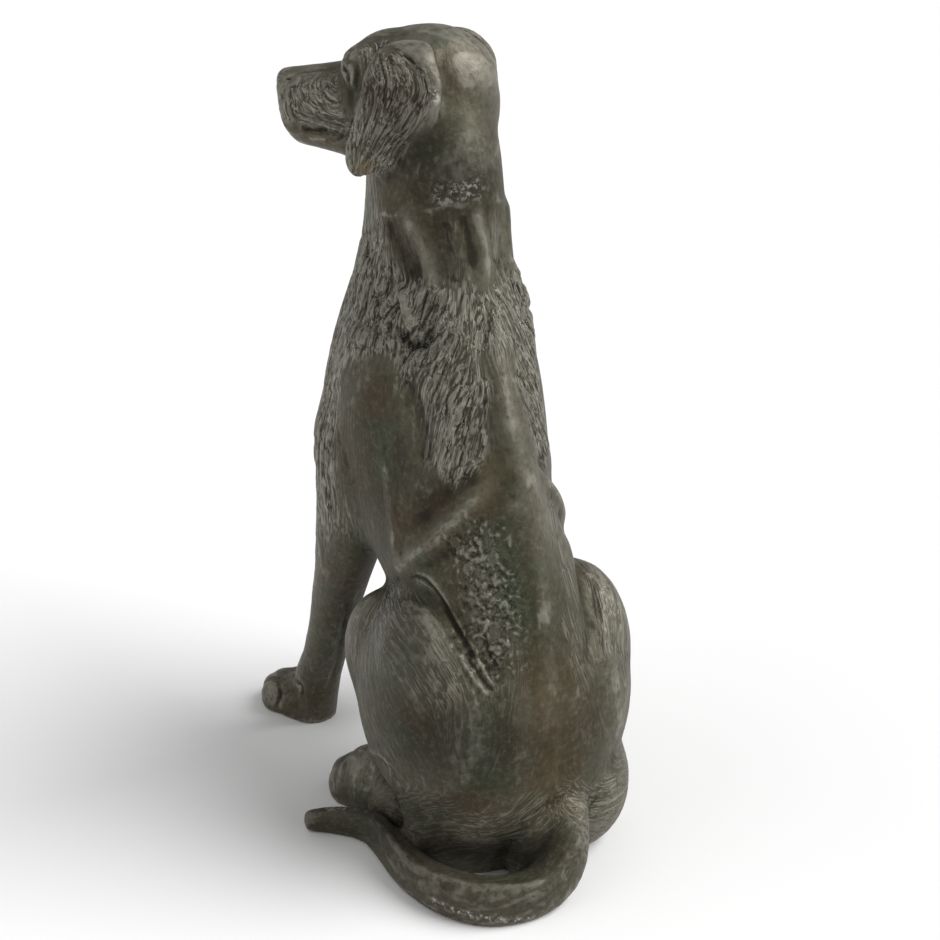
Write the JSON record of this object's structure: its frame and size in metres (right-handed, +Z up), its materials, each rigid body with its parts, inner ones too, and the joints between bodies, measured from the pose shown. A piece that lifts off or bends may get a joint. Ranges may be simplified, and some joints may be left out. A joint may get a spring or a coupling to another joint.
{
  "type": "seated dog garden ornament",
  "caption": "Garden ornament of a seated dog in dark patinated bronze, head turned to its left, tail curled round its left side on the ground.",
  "frame": {"origin": "centre of the bounding box's underside, on the ground", "axes": "+Z up, the dog faces -Y, its left side is at +X"},
  "size_m": [0.3098, 0.5148, 0.7952],
  "materials": {
    "patinated_bronze": "patinated bronze, dark olive brown"
  },
  "bodies": {
    "root": {"seated_dog": "patinated_bronze"}
  },
  "joints": []
}
